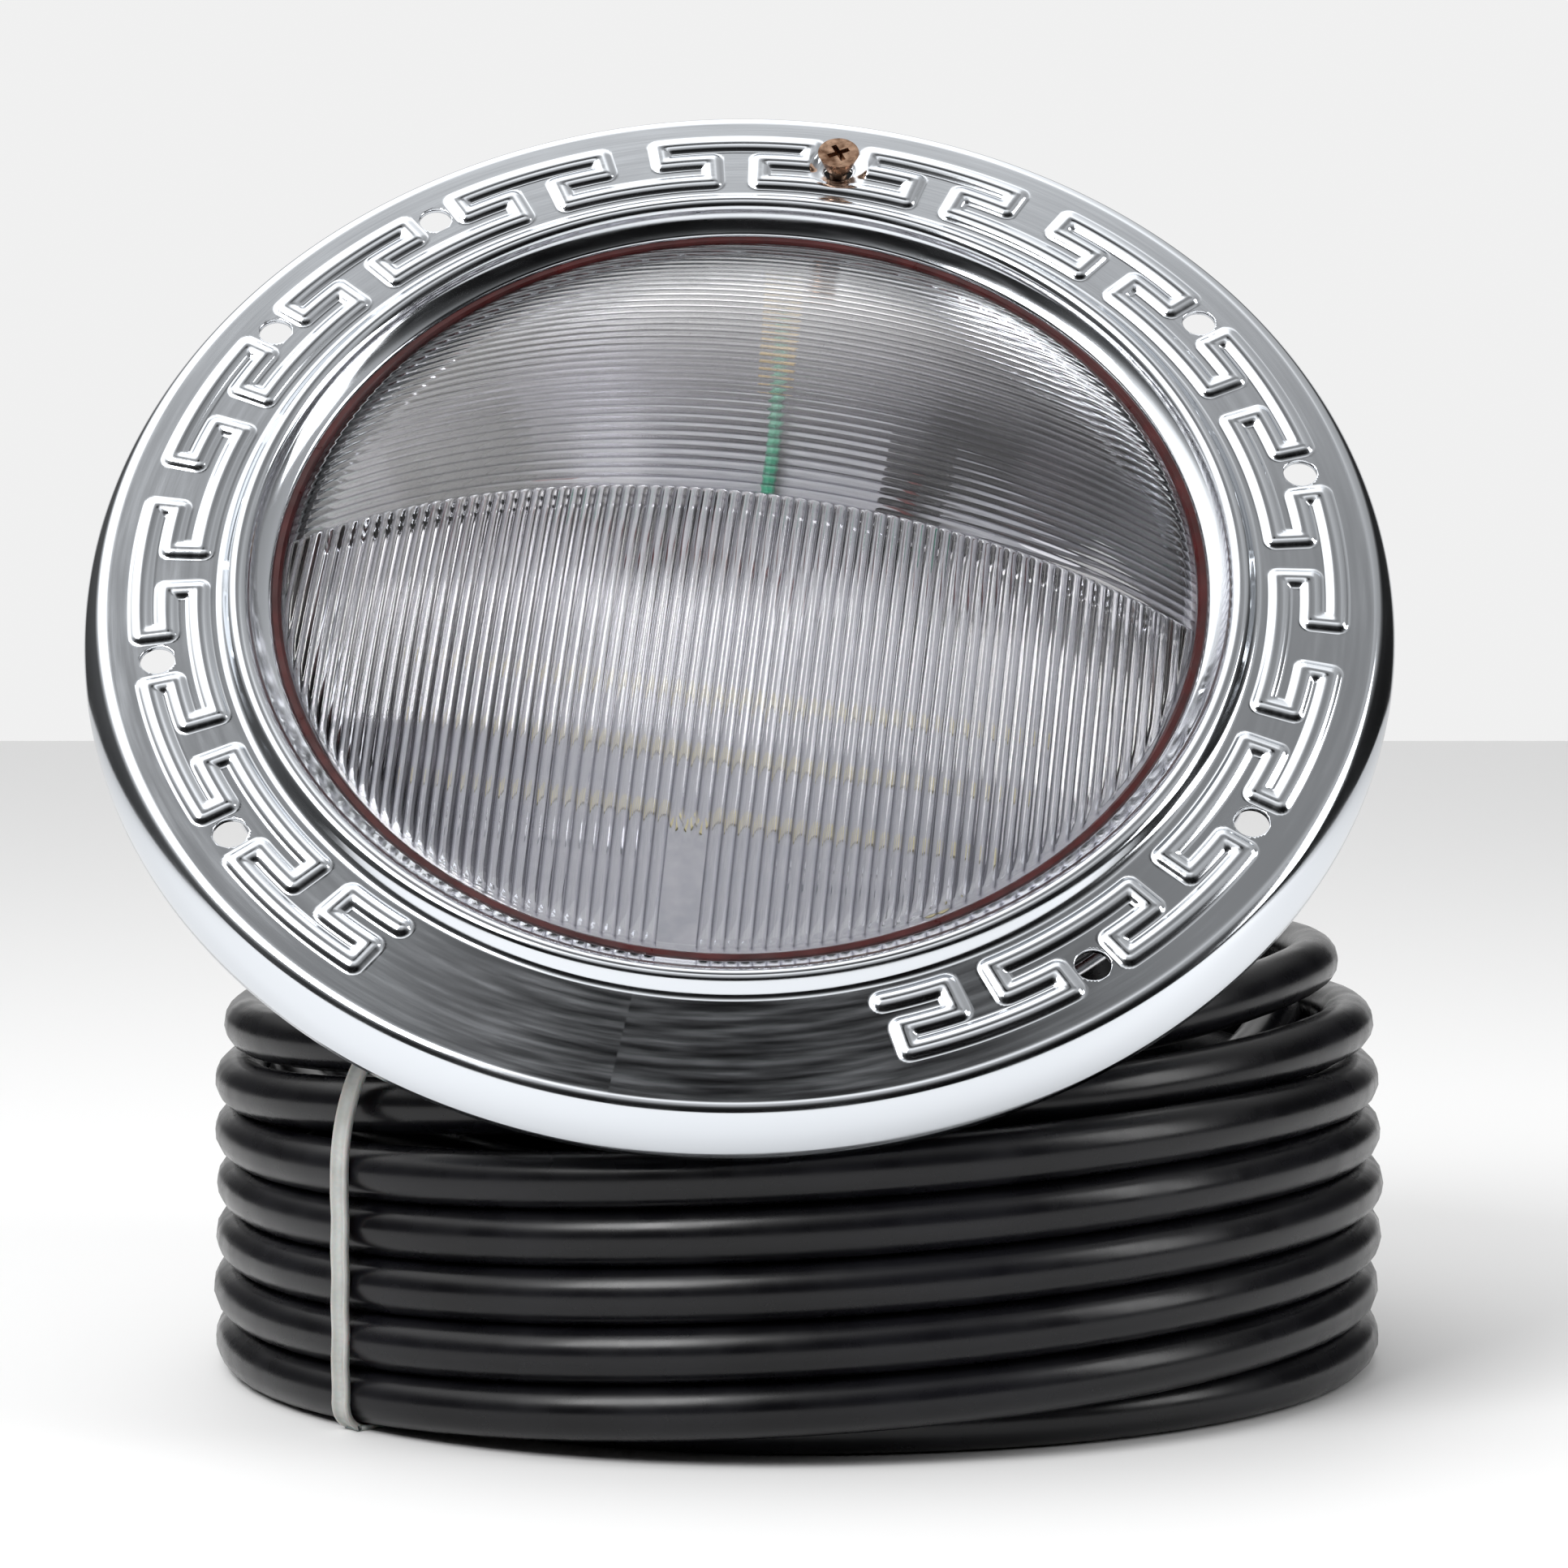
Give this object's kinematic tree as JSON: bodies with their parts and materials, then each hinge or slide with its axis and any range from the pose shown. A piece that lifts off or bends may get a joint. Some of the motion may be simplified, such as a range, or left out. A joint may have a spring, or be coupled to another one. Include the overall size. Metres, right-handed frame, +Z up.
{
  "type": "underwater pool light",
  "caption": "Round underwater pool light head with a pressed steel trim ring and ribbed glass lens, tilted on the tied coil of its own black supply cord.",
  "frame": {"origin": "centre of the cord coil's base, on the surface that the coil lies on", "axes": "+Z up; -Y is the side that the lens faces, and +X is to the right as the lens is looked at; the head's own axis leans 51 degrees from +Z towards -Y"},
  "size_m": [0.2707, 0.2546, 0.2671],
  "materials": {
    "polished_steel": "polished pressed stainless sheet",
    "housing_steel": "drawn stainless sheet, satin",
    "clamp_steel": "plain stainless wire and strip",
    "bronze": "weathered silicon bronze",
    "washer_rubber": "soft black rubber",
    "gasket_silicone": "dark red silicone",
    "lens_glass": "clear tempered prismatic glass",
    "reflector_metal": "bright spun sheet",
    "board_white": "white solder mask",
    "led_phosphor": "yellow phosphor resin",
    "sink_metal": "mill finish",
    "bracket_steel": "plain sheet",
    "black_plastic": "potted black plastic",
    "board_green": "green solder mask",
    "copper_winding": "enamelled copper wire",
    "can_blue": "shrink sleeve",
    "white_plastic": "moulded white",
    "lug_brass": "plain brass",
    "wire_green": "green insulation",
    "wire_black": "black insulation",
    "wire_red": "dark red insulation",
    "gland_metal": "nickel-plated brass",
    "cord_jacket": "satin black jacket",
    "tie_nylon": "natural translucent nylon"
  },
  "bodies": {
    "root": {"face_ring": "polished_steel", "latch_hook": "housing_steel", "lens_gasket": "gasket_silicone", "housing": "housing_steel", "tension_wire": "clamp_steel", "tension_clips": "clamp_steel", "clamp_lugs": "clamp_steel", "clamp_nut": "clamp_steel", "reflector": "reflector_metal", "led_board": "board_white", "led_chips": "led_phosphor", "heat_sink": "sink_metal", "module_posts": "clamp_steel", "module_screws": "clamp_steel", "module_bracket": "bracket_steel", "driver_case": "black_plastic", "driver_board": "board_green", "power_inductor": "copper_winding", "capacitors": "can_blue", "terminal_block": "black_plastic", "thermal_cutout": "white_plastic", "ground_lug": "lug_brass", "ground_wire": "wire_green", "supply_wires": "wire_black", "module_wires": "wire_red", "gland_locknut": "gland_metal", "gland_body": "gland_metal", "gland_seal": "washer_rubber", "gland_nut": "gland_metal", "strain_relief": "cord_jacket", "cord_lead": "cord_jacket", "cord_coil": "cord_jacket", "cable_tie": "tie_nylon", "tie_head": "tie_nylon", "cord_end_leads": "wire_green"},
    "screw_carrier": {"screw_washer": "washer_rubber"},
    "pilot_screw": {"pilot_screw": "bronze"},
    "lens": {"lens": "lens_glass"},
    "clamp_screw": {"clamp_screw": "clamp_steel"}
  },
  "joints": [
    {"name": "screw_slide", "type": "slide", "parent": "root", "child": "screw_carrier", "axis": [0, -0.7771, 0.6293], "range_m": [-0.001, 0.0015]},
    {"name": "screw_spin", "type": "hinge", "parent": "screw_carrier", "child": "pilot_screw", "pos_m": [0.00896, 0.02066, 0.25688], "axis": [0, -0.7771, 0.6293], "continuous": true},
    {"name": "lens_turn", "type": "hinge", "parent": "root", "child": "lens", "pos_m": [-0.012, -0.0505, 0.169], "axis": [0, -0.7771, 0.6293], "range_deg": [0, 180]},
    {"name": "clamp_spin", "type": "hinge", "parent": "root", "child": "clamp_screw", "pos_m": [0.10255, -0.0522, 0.14306], "axis": [-0.1822, -0.6188, -0.7641], "continuous": true}
  ]
}
